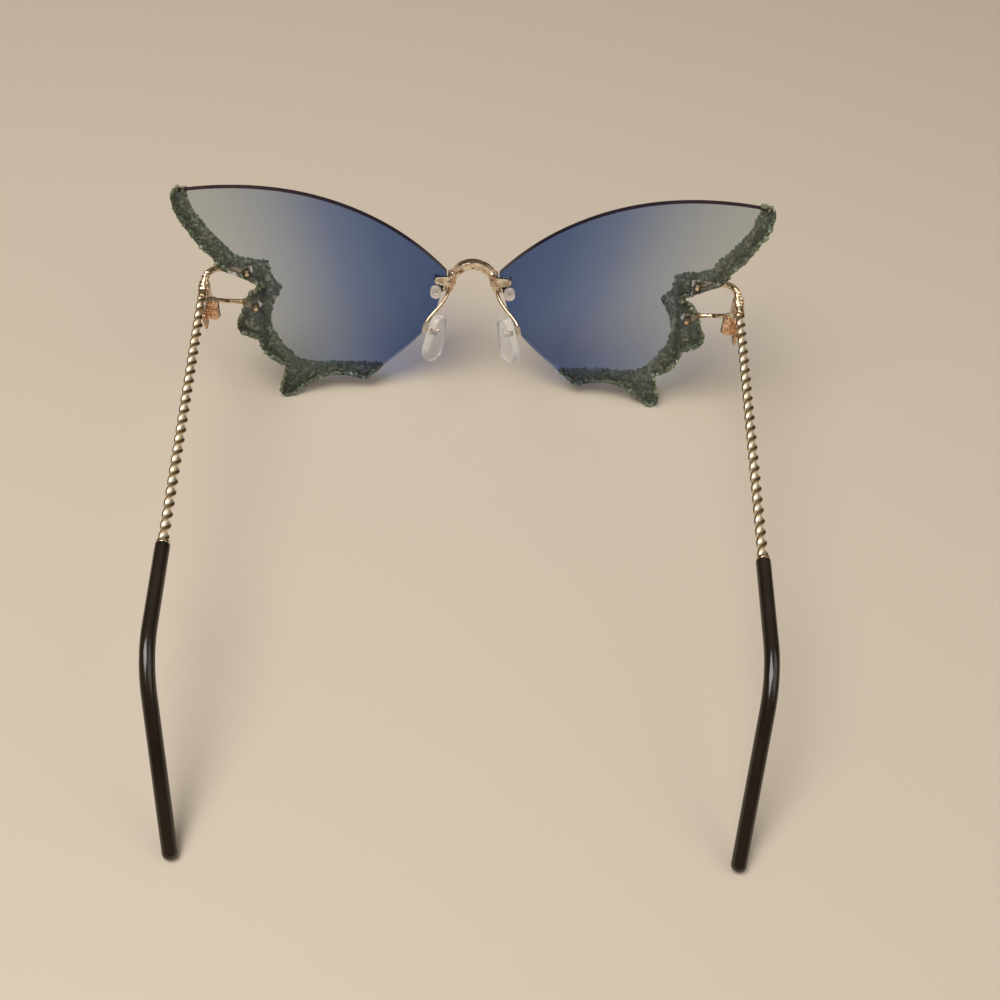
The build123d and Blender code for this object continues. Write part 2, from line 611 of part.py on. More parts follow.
# Hinges: three knuckles on an upright pin, two on the front leaf and one on the rear leaf
knuckle_step = KNUCKLE_HEIGHT + KNUCKLE_GAP
leaf_outside = rope_radius + SEAT_GAP
leaf_across = leaf_outside + LEAF_THICKNESS / 2
leaf_height = 3 * KNUCKLE_HEIGHT + 2 * KNUCKLE_GAP
leaf_plane = temple_plane.offset(ROPE_LEAD)
leaf_drop = hinge_level - leaf_plane.origin.Z
barrel_clear = BARREL_RADIUS + 2 * SLIDE_GAP
stem_clear = ROPE_LEAD + 2 * SLIDE_GAP


def hinge_leaf(knuckle_shifts, side, plate_start):
    """A leaf to the front (side -1) or rear (side 1), its plate starting this far from the pin."""
    with BuildPart() as leaf:
        for shift in knuckle_shifts:
            tongue_level = leaf_drop + shift * knuckle_step
            with BuildSketch(leaf_plane):
                with Locations((leaf_across, tongue_level)):
                    Rectangle(LEAF_THICKNESS, KNUCKLE_HEIGHT - KNUCKLE_GAP)
            extrude(amount=side * (plate_start + OVERRUN))
            with BuildSketch(Plane.XY.offset(hinge_level + shift * knuckle_step)):
                with Locations((hinge_across, hinge_y)):
                    Circle(BARREL_RADIUS)
            extrude(amount=KNUCKLE_HEIGHT / 2, both=True)
        with BuildSketch(leaf_plane.offset(side * plate_start)):
            with Locations((leaf_across, leaf_drop)):
                Rectangle(LEAF_THICKNESS, leaf_height)
        extrude(amount=side * LEAF_LENGTH)
        with BuildSketch(Plane.XY.offset(hinge_level)):
            with Locations((hinge_across, hinge_y)):
                Circle(HINGE_PIN_RADIUS + RUNNING_FIT)
        extrude(amount=leaf_height, both=True, mode=Mode.SUBTRACT)
    return leaf.part


write_pair(hinge_leaf([-1, 1], -1, stem_clear), "hinge_front_leaf")
write_pair(hinge_leaf([0], 1, barrel_clear), "hinge_rear_leaf")

with BuildPart() as hinge_screw:
    with BuildSketch(Plane.XY.offset(hinge_level - leaf_height / 2)):
        with Locations((hinge_across, hinge_y)):
            Circle(HINGE_PIN_RADIUS)
    extrude(amount=leaf_height + SEAT_GAP)
    with BuildSketch(Plane.XY.offset(hinge_level + leaf_height / 2 + SEAT_GAP)):
        with Locations((hinge_across, hinge_y)):
            Circle(HINGE_HEAD_RADIUS)
    extrude(amount=HINGE_HEAD_HEIGHT)
write_pair(hinge_screw.part, "hinge_screw")

# Temple ropes: two round strands laid round each other, the same way on both sides
STRAND_ANGLES = [-150, -90, -30, 30, 90, 150]
STEPS_IN_TURN = 10


def rope_ring(distance):
    """The outline of both strands, turned with the lay, at a distance along the temple."""
    lay = 360 * distance / ROPE_TURN
    ring = []
    for strand_turn in (0, 180):
        for angle in STRAND_ANGLES:
            across = STRAND_RADIUS * (1 + cosine(angle))
            up = STRAND_RADIUS * sine(angle)
            turn = lay + strand_turn
            ring.append((across * cosine(turn) - up * sine(turn), across * sine(turn) + up * cosine(turn)))
    return ring


def rope_solid(plane):
    """A flat-faced solid through the rings, two triangles to each step of each side."""
    steps = round(ROPE_LENGTH / ROPE_TURN * STEPS_IN_TURN)
    rings = []
    for step in range(steps + 1):
        distance = ROPE_LENGTH * step / steps
        rings.append([plane.from_local_coords((x, y, distance)) for x, y in rope_ring(distance)])
    faces = [Face(Wire.make_polygon(rings[0])), Face(Wire.make_polygon(rings[-1]))]
    for ring, following in zip(rings, rings[1:]):
        for side in range(len(ring)):
            ahead = (side + 1) % len(ring)
            faces.append(Face(Wire.make_polygon([ring[side], ring[ahead], following[ahead]])))
            faces.append(Face(Wire.make_polygon([ring[side], following[ahead], following[side]])))
    return Solid(Shell(faces))


right_start = Vector(-temple_start.X, temple_start.Y, temple_start.Z)
right_run = Vector(-temple_run.X, temple_run.Y, temple_run.Z)
right_plane = Plane(origin=right_start, x_dir=(temple_inward.X, -temple_inward.Y, 0), z_dir=right_run)
for rope_name, rope_plane in (("temple_rope_left", temple_plane), ("temple_rope_right", right_plane)):
    with BuildPart() as temple_rope:
        add(rope_solid(rope_plane))
    write_piece(temple_rope.part, rope_name)

# Temple cores: the wire inside the sleeve, from the end of the rope
core_points = [
    rope_end + temple_run * SEAT_GAP,
    ear_bend,
    sleeve_end - drop_run.normalized() * CORE_STOP,
]
write_pair(bent_wire(core_points, CORE_RADIUS, SLEEVE_BEND), "temple_core")

# Temple collars: the ring between rope and sleeve
with BuildPart() as temple_collar:
    with BuildSketch(Plane(origin=rope_end + temple_run * SEAT_GAP, z_dir=temple_run)):
        Circle(COLLAR_RADIUS)
    extrude(amount=COLLAR_LENGTH - SEAT_GAP)
    fillet(temple_collar.edges(), COLLAR_LENGTH / 5)
    with BuildSketch(Plane(origin=rope_end, z_dir=temple_run)):
        Circle(CORE_RADIUS + RUNNING_FIT)
    extrude(amount=COLLAR_LENGTH + OVERRUN, mode=Mode.SUBTRACT)
write_pair(temple_collar.part, "temple_collar")

# Temple sleeves: glossy tips over the cores, with a round end
bore_end = sleeve_end - drop_run.normalized() * (CORE_STOP - SLIDE_GAP)
with BuildPart() as temple_sleeve:
    add(bent_wire([sleeve_start, ear_bend, sleeve_end], SLEEVE_RADIUS, SLEEVE_BEND))
    with Locations(sleeve_end):
        Sphere(SLEEVE_RADIUS)
    bore = bent_wire([sleeve_start, ear_bend, bore_end], CORE_RADIUS + RUNNING_FIT, SLEEVE_BEND)
    add(bore, mode=Mode.SUBTRACT)
write_pair(temple_sleeve.part, "temple_sleeve")
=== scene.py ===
import json
import math

import bmesh
import bpy
from mathutils import Matrix, Vector, noise
from mathutils.bvhtree import BVHTree


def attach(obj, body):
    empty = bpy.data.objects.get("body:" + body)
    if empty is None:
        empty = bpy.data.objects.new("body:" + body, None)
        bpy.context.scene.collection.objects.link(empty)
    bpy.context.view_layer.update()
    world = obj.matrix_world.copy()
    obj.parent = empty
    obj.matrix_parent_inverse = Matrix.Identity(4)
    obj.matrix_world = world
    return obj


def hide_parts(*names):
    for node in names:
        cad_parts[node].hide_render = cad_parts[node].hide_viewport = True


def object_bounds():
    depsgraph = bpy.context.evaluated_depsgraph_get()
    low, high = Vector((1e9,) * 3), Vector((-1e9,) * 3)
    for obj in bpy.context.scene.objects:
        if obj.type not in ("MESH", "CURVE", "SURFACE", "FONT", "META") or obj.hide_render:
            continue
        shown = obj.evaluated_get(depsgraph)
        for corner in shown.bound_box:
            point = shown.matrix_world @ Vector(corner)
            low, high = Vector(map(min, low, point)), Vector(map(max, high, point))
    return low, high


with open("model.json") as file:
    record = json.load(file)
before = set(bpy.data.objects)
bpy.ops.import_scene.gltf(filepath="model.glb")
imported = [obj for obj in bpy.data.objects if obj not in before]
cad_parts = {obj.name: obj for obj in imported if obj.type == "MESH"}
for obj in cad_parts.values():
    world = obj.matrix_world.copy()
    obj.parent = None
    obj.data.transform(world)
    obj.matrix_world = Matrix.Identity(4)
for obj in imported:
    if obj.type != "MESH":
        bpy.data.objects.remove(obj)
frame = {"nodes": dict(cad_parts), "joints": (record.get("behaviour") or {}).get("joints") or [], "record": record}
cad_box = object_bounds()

MM = 0.001
MERGE_DISTANCE = 0.002 * MM

# The wearer's sides, and the sign of X on each
SIDES = {"left": 1.0, "right": -1.0}

# Camera of the photograph: behind and above the glasses, looking down at the back of the lenses
CAMERA_AZIMUTH = math.radians(178.04)
CAMERA_ELEVATION = math.radians(50.0)
CAMERA_ROLL = math.radians(3.1)
CAMERA_DISTANCE = 422.5 * MM
CAMERA_TARGET = Vector((-10.5, -76.5, -60.4)) * MM
FOCAL_LENGTH = 46.8
SENSOR_WIDTH = 36.0

# Lens: its tint leans with height, and more so below the middle, where painted light makes the lower lens lighter
# against its own shadow seen through it
LENS_TILT = math.radians(11.0)
LENS_INNER_EDGE = 7.0 * MM
LENS_OUTER_EDGE = 75.0 * MM
LENS_MIDDLE_LEVEL = 32.0 * MM
TINT_SLANT = 0.25
PAINTED_LIGHT_LOWER_SLANT = 0.25
LENS_FRONT = Vector((0.0, -math.cos(LENS_TILT), -math.sin(LENS_TILT)))
LENS_UPWARD = Vector((0.0, -math.sin(LENS_TILT), math.cos(LENS_TILT)))

# Painted shade on a lens's upward-facing top edge: how flat to the lens, and how far upward, its surface faces
EDGE_FLATNESS_START = 0.8
EDGE_FLATNESS_FULL = 0.6
TOP_FACING_START = 0.1
TOP_FACING_FULL = 0.35

# Crystal border: chips on the front of the bed, and in strips going back over the lens's rim
BED_GAP = 0.05 * MM
BED_FRONT_FACING = 0.7
BED_RIM_FACING = 0.3
CRYSTAL_SEED = 11
CRYSTAL_SPACING = 0.62 * MM
CRYSTALS_PER_SQUARE_METRE = 4.0e6
CRYSTAL_SMALLEST = 0.40 * MM
CRYSTAL_LARGEST = 0.85 * MM
CRYSTAL_NARROWEST = 0.6
CRYSTAL_FLATTEST = 0.75
RIM_STRIP = 0.6 * MM
RIM_STRIPS = 4
RIM_PROBE = 0.4 * MM
RIM_PROBE_BACK = 2 * RIM_STRIP

# Temples: the rope starts outward and in front of the hinge pin, and runs back, down and inward
ROPE_OUTSET = 3.18 * MM
ROPE_SETBACK = -2.9 * MM
ROPE_RISE = 0.4 * MM
ROPE_LENGTH = 74.0 * MM
ROPE_TURN = 6.1 * MM
ROPE_HALF_WIDTH = 1.24 * MM
ROPE_HALF_HEIGHT = 1.0 * MM
ROPE_FLATTENING = 0.32
ROPE_POINTS = 400
ROPE_SIDES = 26
COLLAR_WIDTH_SHARE = 0.88
COLLAR_LENGTH_SHARE = 0.5
TEMPLE_SLOPE = math.radians(4.7)
TEMPLE_TOE_IN = math.radians(1.5)

# Painted shade on a rope's edges, for the dark gaps between its bright faces: where it starts and is full, from
# the middle of a broad face, 0, to an edge, 1
EDGE_SHADE_START = 0.55
EDGE_SHADE_FULL = 0.80

# Hand-worked metal: facets and dimples in millimetres, smoothing in rounds, reach as a share
BRIDGE_FACET = 0.10
BRIDGE_DIMPLE_SPACING = 1.5
BRIDGE_DIMPLE_DEPTH = 0.12
FORK_FACET = 0.09
SMALL_DIMPLE_SPACING = 1.1
SMALL_DIMPLE_DEPTH = 0.07
DIMPLE_REACH = 0.5
WORKED_SMOOTHING = 4
LEAF_FACET = 0.08
LEAF_SMOOTHING = 12
PAD_BOX_FACET = 0.06

# Feet, claws and legs of the bridge: places in millimetres from the lens plane's corner, and shares
LENS_CORNER = Vector((0.0, -66.44, -0.59))
FOOT_BOTTOM = 30.9
FOOT_INNER_EDGE = 6.7
FOOT_BACK = 1.4
FOOT_BLEND = 0.4
FOOT_SLIMMING = 0.7
ARCH_END = 5.9
CLAW_SHORTENING = 0.2
CLAW_TOP = 36.8
CLAW_LOWERING = 0.7
LEG_TOP = 35.3
LEG_BOTTOM = 31.5
LEG_SPLAY = 0.27
LEG_ACROSS = 5.66
LEG_MIDDLE = 1.7
LEG_TAPER = 0.4

# Close turns of wire on the stem of an end piece, in millimetres
STEM_ACROSS = 67.2
WINDING_START = -66.8
WINDING_END = -59.5
WINDING_BLEND = 0.8
WINDING_PITCH = 1.3
WINDING_SLANT = 0.3
WINDING_DEPTH = 0.2

# Pad wires: the points that a goose-neck bends past, in millimetres, and how finely it is drawn
PAD_WIRE_POINTS = [
    (6.56, -72.9, 30.77),
    (6.9, -70.2, 30.3),
    (13.1, -64.3, 26.4),
    (12.2, -63.13, 26.53),
]
PAD_WIRE_RADIUS = 0.5
PAD_WIRE_ORDER = 3
PAD_WIRE_STEPS = 16
PAD_WIRE_ROUNDNESS = 5

# Grain of metal and moulded parts
PATCH_DETAIL = 3.0
PATCH_START = 0.35
PATCH_FULL = 0.7
GRAIN_DETAIL = 2.0
GRAIN_DEPTH = 0.1 * MM

# Colours, as linear values
GOLD = (0.90, 0.72, 0.50, 1.0)
GOLD_SHADE = (0.62, 0.44, 0.26, 1.0)
ROSE_GOLD = (0.86, 0.60, 0.41, 1.0)
ROSE_GOLD_SHADE = (0.42, 0.24, 0.14, 1.0)
PALE_GOLD = (0.97, 0.88, 0.71, 1.0)
PALE_GOLD_SHADE = (0.86, 0.70, 0.48, 1.0)
# Painted shade for the edges of a rope, the dark gaps between its bright faces
ROPE_EDGE_PAINTED_SHADE = (0.20, 0.14, 0.07, 1.0)
# Painted shade for the upward-facing top edge of a lens
PAINTED_EDGE_SHADE = (0.012, 0.004, 0.007, 1.0)
CLEAR_SHADOW = (0.9, 0.9, 0.88, 1.0)

# Tint of a lens, from its inner edge to its outer edge
TINT_STOPS = [
    (0.0, (0.085, 0.15, 0.38, 1.0)),
    (0.2, (0.12, 0.20, 0.44, 1.0)),
    (0.38, (0.22, 0.30, 0.55, 1.0)),
    (0.56, (0.42, 0.50, 0.66, 1.0)),
    (0.74, (0.57, 0.64, 0.72, 1.0)),
    (1.0, (0.66, 0.72, 0.76, 1.0)),
]

# Shades of the crystal chips, from the darkest to the lightest
CRYSTAL_STOPS = [
    (0.0, (0.18, 0.17, 0.080, 1.0)),
    (0.5, (0.29, 0.29, 0.150, 1.0)),
    (0.85, (0.38, 0.41, 0.24, 1.0)),
    (1.0, (0.58, 0.62, 0.42, 1.0)),
]

# Studio: the floor, the light of the sky from the level to overhead, and two lamps
FLOOR_REACH = 4.0
FLOOR_ROUGHNESS = 0.55
FLOOR_COLOUR = (0.60, 0.52, 0.42, 1.0)
BACKDROP_COLOUR = (0.80, 0.77, 0.70, 1.0)
SKY_STOPS = [
    (0.0, (0.10, 0.08, 0.06, 1.0)),
    (0.55, (0.14, 0.12, 0.10, 1.0)),
    (1.0, (0.38, 0.37, 0.36, 1.0)),
]
LAMP_WIDTH = 0.6
KEY_PLACE = (0.30, 0.22, 0.92)
KEY_POWER = 8.6
KEY_COLOUR = (1.0, 0.97, 0.92)
FILL_PLACE = (-0.6, 0.2, 0.6)
FILL_POWER = 1.4
FILL_COLOUR = (1.0, 0.98, 0.95)

# Sockets that share a name with others of their node, and are told apart by number
MIX_FIRST = 6
MIX_SECOND = 7
MIXED_COLOUR = 2
LOWEST_NUMBER = 2
HIGHEST_NUMBER = 3
RANDOM_VECTOR = 0
RANDOM_NUMBER = 1


# Node helpers
def add(tree, kind, inputs=(), **properties):
    """A node of this kind, with its properties set and its inputs set or linked."""
    node = tree.nodes.new(kind)
    for name, value in properties.items():
        setattr(node, name, value)
    for name, value in dict(inputs).items():
        if isinstance(value, bpy.types.NodeSocket):
            tree.links.new(value, node.inputs[name])
        else:
            node.inputs[name].default_value = value
    return node


def new_group(name, kind, inputs, outputs):
    """An empty node group with these sockets, and its input and output nodes."""
    tree = bpy.data.node_groups.new(name, kind)
    for socket_name, socket_kind, value in inputs:
        socket = tree.interface.new_socket(socket_name, in_out="INPUT", socket_type=socket_kind)
        if value is not None:
            socket.default_value = value
    for socket_name, socket_kind in outputs:
        tree.interface.new_socket(socket_name, in_out="OUTPUT", socket_type=socket_kind)
    return tree, tree.nodes.new("NodeGroupInput"), tree.nodes.new("NodeGroupOutput")


def new_material(name, **plain):
    """A material with one Principled shader, whose named sockets take these plain values."""
    material = bpy.data.materials.new(name)
    material.use_nodes = True
    shader = material.node_tree.nodes["Principled BSDF"]
    for socket_name, value in plain.items():
        shader.inputs[socket_name.replace("_", " ")].default_value = value
    return material, material.node_tree, shader


def ramp(tree, factor, stops):
    """A colour ramp through these stops, each a place and a colour."""
    node = add(tree, "ShaderNodeValToRGB", {"Fac": factor})
    points = node.color_ramp.elements
    while len(points) < len(stops):
        points.new(position=0.5)
    for point, (place, colour) in zip(points, stops):
        point.position = place
        point.color = colour
    return node.outputs["Color"]


def math_node(tree, operation, *values):
    """The outcome of one sum on these numbers or sockets."""
    return add(tree, "ShaderNodeMath", enumerate(values), operation=operation).outputs[0]


def share_between(tree, value, start, full):
    """Nought up to the start, one from the full value on, and an even rise between."""
    node = add(tree, "ShaderNodeMapRange", {"Value": value, "From Min": start, "From Max": full})
    return node.outputs["Result"]


def colour_mix(tree, factor, first, second):
    """The first colour where the factor is nought, and the second where it is one."""
    values = {"Factor": factor, MIX_FIRST: first, MIX_SECOND: second}
    return add(tree, "ShaderNodeMix", values, data_type="RGBA").outputs[MIXED_COLOUR]


# Shared effects
def make_surface_grain():
    """Uneven colour, roughness and a fine bump, for metal and moulded parts."""
    inputs = [
        ("Colour", "NodeSocketColor", (0.8, 0.8, 0.8, 1.0)),
        ("Shade", "NodeSocketColor", (0.5, 0.5, 0.5, 1.0)),
        ("Patch Scale", "NodeSocketFloat", 300.0),
        ("Grain Scale", "NodeSocketFloat", 3000.0),
        ("Smoothest", "NodeSocketFloat", 0.15),
        ("Roughest", "NodeSocketFloat", 0.35),
        ("Bump", "NodeSocketFloat", 0.1),
    ]
    outputs = [
        ("Colour", "NodeSocketColor"),
        ("Roughness", "NodeSocketFloat"),
        ("Normal", "NodeSocketVector"),
    ]
    tree, given, result = new_group("surface grain", "ShaderNodeTree", inputs, outputs)
    place = add(tree, "ShaderNodeTexCoord").outputs["Object"]

    def speckle(scale_name, detail):
        """Noise all over the surface, at the scale that the group is given."""
        values = {"Vector": place, "Scale": given.outputs[scale_name], "Detail": detail}
        return add(tree, "ShaderNodeTexNoise", values).outputs["Fac"]

    patches = share_between(tree, speckle("Patch Scale", PATCH_DETAIL), PATCH_START, PATCH_FULL)
    colour = colour_mix(tree, patches, given.outputs["Colour"], given.outputs["Shade"])
    roughness = add(
        tree,
        "ShaderNodeMapRange",
        {
            "Value": patches,
            "To Min": given.outputs["Smoothest"],
            "To Max": given.outputs["Roughest"],
        },
    )
    bump = add(
        tree,
        "ShaderNodeBump",
        {
            "Height": speckle("Grain Scale", GRAIN_DETAIL),
            "Strength": given.outputs["Bump"],
            "Distance": GRAIN_DEPTH,
        },
    )
    tree.links.new(colour, result.inputs["Colour"])
    tree.links.new(roughness.outputs["Result"], result.inputs["Roughness"])
    tree.links.new(bump.outputs["Normal"], result.inputs["Normal"])
    return tree


surface_grain = make_surface_grain()


# Materials
def grained_material(name, colour, shade, patch_scale, grain_scale, roughness, bump, **plain):
    """A material whose colour, roughness and bump come from the shared grain, with these values."""
    material, tree, shader = new_material(name, **plain)
    smoothest, roughest = roughness
    values = {
        "Colour": colour,
        "Shade": shade,
        "Patch Scale": patch_scale,
        "Grain Scale": grain_scale,
        "Smoothest": smoothest,
        "Roughest": roughest,
        "Bump": bump,
    }
    group = add(tree, "ShaderNodeGroup", node_tree=surface_grain)
    for socket_name, value in values.items():
        group.inputs[socket_name].default_value = value
    tree.links.new(group.outputs["Colour"], shader.inputs["Base Color"])
    tree.links.new(group.outputs["Roughness"], shader.inputs["Roughness"])
    tree.links.new(group.outputs["Normal"], shader.inputs["Normal"])
    return material


def lights_shadow(material, tint):
    """Let light through to the floor: the shadow of a clear piece has its tint, not black."""
    tree = material.node_tree
    solid = tree.nodes["Principled BSDF"].outputs["BSDF"]
    clear = add(tree, "ShaderNodeBsdfTransparent", {"Color": tint}).outputs["BSDF"]
    in_shadow = add(tree, "ShaderNodeLightPath").outputs["Is Shadow Ray"]
    mix = add(tree, "ShaderNodeMixShader", {0: in_shadow, 1: solid, 2: clear})
    tree.links.new(mix.outputs["Shader"], tree.nodes["Material Output"].inputs["Surface"])


def metal(name, **looks):
    """A bare or plated metal."""
    return grained_material(name, Metallic=1.0, **looks)


def clear_material(name, shadow, **looks):
    """A plastic or glue that lets light through, and casts a shadow with this tint."""
    material = grained_material(name, **looks)
    lights_shadow(material, shadow)
    return material


def make_lens_material():
    """Tinted lens: blue at the nose, fading to clear grey outward, with painted shade on its polished top edge."""
    material, tree, shader = new_material(
        "lens tint",
        Roughness=0.02,
        IOR=1.3,
        Transmission_Weight=1.0,
    )
    place = add(tree, "ShaderNodeTexCoord")
    parts = add(tree, "ShaderNodeSeparateXYZ", {"Vector": place.outputs["Object"]})
    across = math_node(tree, "ABSOLUTE", parts.outputs["X"])
    above = math_node(tree, "SUBTRACT", parts.outputs["Z"], LENS_MIDDLE_LEVEL)
    slanted = math_node(tree, "MULTIPLY_ADD", above, -TINT_SLANT, across)
    # Painted light: below the middle the tint moves outward, lighter, to offset the lens's own shadow seen through
    # it
    below = math_node(tree, "MINIMUM", above, 0.0)
    slant_with_painted_light = math_node(tree, "MULTIPLY_ADD", below, -PAINTED_LIGHT_LOWER_SLANT, slanted)
    tint = ramp(tree, share_between(tree, slant_with_painted_light, LENS_INNER_EDGE, LENS_OUTER_EDGE), TINT_STOPS)
    facing = add(
        tree,
        "ShaderNodeVectorMath",
        {0: place.outputs["Normal"], 1: LENS_FRONT},
        operation="DOT_PRODUCT",
    )
    flatness = math_node(tree, "ABSOLUTE", facing.outputs["Value"])
    edge = share_between(tree, flatness, EDGE_FLATNESS_START, EDGE_FLATNESS_FULL)
    normal = add(tree, "ShaderNodeSeparateXYZ", {"Vector": place.outputs["Normal"]})
    upward = share_between(tree, normal.outputs["Z"], TOP_FACING_START, TOP_FACING_FULL)
    # Painted shade: the lens's edge is darkened where it faces upward
    painted_shade_on_top_edge = math_node(tree, "MULTIPLY", edge, upward)
    colour = colour_mix(tree, painted_shade_on_top_edge, tint, PAINTED_EDGE_SHADE)
    tree.links.new(colour, shader.inputs["Base Color"])
    lights_shadow(material, colour)
    return material


def make_crystal_material():
    """Cut crystal in smoky olive green, each chip with a shade of its own."""
    material, tree, shader = new_material(
        "crystal",
        Roughness=0.08,
        IOR=1.55,
        Transmission_Weight=0.55,
    )
    shade = add(tree, "ShaderNodeAttribute", attribute_name="shade")
    colour = ramp(tree, shade.outputs["Fac"], CRYSTAL_STOPS)
    tree.links.new(colour, shader.inputs["Base Color"])
    return material


def make_rope_material():
    """Pale gold on the broad faces of the twisted bar, with brown painted shade on its edges for the dark gaps
    between them.
    """
    material = metal(
        "gold rope",
        colour=PALE_GOLD,
        shade=PALE_GOLD_SHADE,
        patch_scale=500.0,
        grain_scale=5000.0,
        roughness=(0.40, 0.52),
        bump=0.05,
    )
    tree = material.node_tree
    base_colour = tree.nodes["Principled BSDF"].inputs["Base Color"]
    plating = base_colour.links[0].from_socket
    outward = add(tree, "ShaderNodeAttribute", attribute_name="outward")
    # Painted shade: brown on the bar's edges, pale gold plating on its broad faces
    bright = share_between(tree, outward.outputs["Fac"], EDGE_SHADE_FULL, EDGE_SHADE_START)
    tree.links.new(colour_mix(tree, bright, ROPE_EDGE_PAINTED_SHADE, plating), base_colour)
    return material


lens_material = make_lens_material()
crystal_material = make_crystal_material()
rope_material = make_rope_material()
gold_material = metal(
    "gold plating",
    colour=GOLD,
    shade=GOLD_SHADE,
    patch_scale=400.0,
    grain_scale=4000.0,
    roughness=(0.12, 0.28),
    bump=0.08,
)
hammered_material = metal(
    "hammered gold plating",
    colour=PALE_GOLD,
    shade=ROSE_GOLD_SHADE,
    patch_scale=600.0,
    grain_scale=2500.0,
    roughness=(0.12, 0.30),
    bump=0.15,
)
hinge_material = metal(
    "rose gold hinge",
    colour=ROSE_GOLD,
    shade=ROSE_GOLD_SHADE,
    patch_scale=600.0,
    grain_scale=4000.0,
    roughness=(0.15, 0.35),
    bump=0.1,
)
pad_box_material = metal(
    "pad box plating",
    colour=(0.98, 0.93, 0.85, 1.0),
    shade=(0.92, 0.85, 0.75, 1.0),
    patch_scale=500.0,
    grain_scale=4000.0,
    roughness=(0.22, 0.35),
    bump=0.05,
)
pad_wire_material = metal(
    "pad wire plating",
    colour=(0.80, 0.62, 0.44, 1.0),
    shade=(0.50, 0.36, 0.24, 1.0),
    patch_scale=500.0,
    grain_scale=4000.0,
    roughness=(0.18, 0.32),
    bump=0.05,
)
core_material = metal(
    "drawn wire",
    colour=(0.55, 0.55, 0.56, 1.0),
    shade=(0.40, 0.40, 0.42, 1.0),
    patch_scale=300.0,
    grain_scale=4000.0,
    roughness=(0.25, 0.45),
    bump=0.1,
)
tip_material = grained_material(
    "tip plastic",
    colour=(0.012, 0.007, 0.004, 1.0),
    shade=(0.020, 0.012, 0.007, 1.0),
    patch_scale=90.0,
    grain_scale=2500.0,
    roughness=(0.10, 0.20),
    bump=0.04,
    IOR=1.5,
)
glue_material = clear_material(
    "set glue",
    shadow=(0.6, 0.58, 0.45, 1.0),
    colour=(0.66, 0.60, 0.42, 1.0),
    shade=(0.50, 0.48, 0.34, 1.0),
    patch_scale=400.0,
    grain_scale=1200.0,
    roughness=(0.15, 0.4),
    bump=0.7,
    Transmission_Weight=0.8,
    IOR=1.45,
)
bushing_material = clear_material(
    "clear plastic",
    shadow=CLEAR_SHADOW,
    colour=(0.52, 0.50, 0.38, 1.0),
    shade=(0.42, 0.40, 0.30, 1.0),
    patch_scale=500.0,
    grain_scale=1500.0,
    roughness=(0.04, 0.12),
    bump=0.1,
    Transmission_Weight=1.0,
    IOR=1.3,
)
plug_material = clear_material(
    "frosted plastic",
    shadow=CLEAR_SHADOW,
    colour=(0.90, 0.84, 0.78, 1.0),
    shade=(0.80, 0.72, 0.66, 1.0),
    patch_scale=500.0,
    grain_scale=1500.0,
    roughness=(0.06, 0.2),
    bump=0.1,
    Transmission_Weight=0.55,
    IOR=1.45,
)
silicone_material = clear_material(
    "clear silicone",
    shadow=(0.88, 0.88, 0.86, 1.0),
    colour=(0.94, 0.94, 0.93, 1.0),
    shade=(0.86, 0.86, 0.85, 1.0),
    patch_scale=300.0,
    grain_scale=900.0,
    roughness=(0.05, 0.18),
    bump=0.12,
    Transmission_Weight=0.88,
    IOR=1.4,
)

# The finish of each material slot, and of the CAD nodes that stay
SLOT_MATERIALS = {
    "lens_tint": lens_material,
    "clear_glue": glue_material,
    "crystal": crystal_material,
    "clear_plastic": bushing_material,
    "pad_silicone": silicone_material,
    "gold_metal": gold_material,
    "gold_hammered": hammered_material,
    "gold_rope": rope_material,
    "gold_hinge": hinge_material,
    "gold_screw": gold_material,
    "core_wire": core_material,
    "tip_plastic": tip_material,
}
node_slots = {row["node"]: row["material_slot"] for row in frame["record"]["subparts"]}
for node_name, node_object in frame["nodes"].items():
    node_object.data.materials.clear()
    node_object.data.materials.append(SLOT_MATERIALS[node_slots[node_name]])
for side in SIDES:
    frame["nodes"][f"bridge_plug_{side}"].data.materials[0] = plug_material


# Piece helpers
def new_object(name, data):
    """An object in the scene that carries this mesh, lamp or camera."""
    made = bpy.data.objects.new(name, data)
    bpy.context.scene.collection.objects.link(made)
    return made


def new_piece(name, mesh, body, slot, node):
    """A finished piece at the origin that rides on a body and stands for a CAD node."""
    piece = new_object(name, mesh)
    if not mesh.materials:
        mesh.materials.append(SLOT_MATERIALS[slot])
    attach(piece, body)
    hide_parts(node)


def merged_copy(node_name):
    """A copy of a CAD node's mesh with its loose triangles joined."""
    shape = bmesh.new()
    shape.from_mesh(frame["nodes"][node_name].data)
    bmesh.ops.remove_doubles(shape, verts=shape.verts, dist=MERGE_DISTANCE)
    return shape


def mesh_of(name, shape):
    """A mesh of this shape, which isn't used after it."""
    mesh = bpy.data.meshes.new(name)
    shape.to_mesh(mesh)
    shape.free()
    return mesh


def outcome(carrier):
    """The mesh that the modifiers of a working object make of it. The object goes."""
    bpy.context.view_layer.update()
    evaluated = carrier.evaluated_get(bpy.context.evaluated_depsgraph_get())
    mesh = bpy.data.meshes.new_from_object(evaluated)
    bpy.data.objects.remove(carrier)
    return mesh


def run_nodes(tree, start_mesh, values):
    """The mesh that a geometry tree makes from a start mesh, with its named inputs set."""
    carrier = new_object("carrier", start_mesh)
    modifier = carrier.modifiers.new("nodes", "NODES")
    modifier.node_group = tree
    for item in tree.interface.items_tree:
        if item.item_type == "SOCKET" and item.in_out == "INPUT" and item.name in values:
            modifier[item.identifier] = values[item.name]
    return outcome(carrier)


def keep_in_box(mesh):
    """Press what reaches out of the CAD box back to its faces."""
    lowest, highest = cad_box
    for vertex in mesh.vertices:
        for axis in range(3):
            vertex.co[axis] = min(max(vertex.co[axis], lowest[axis]), highest[axis])


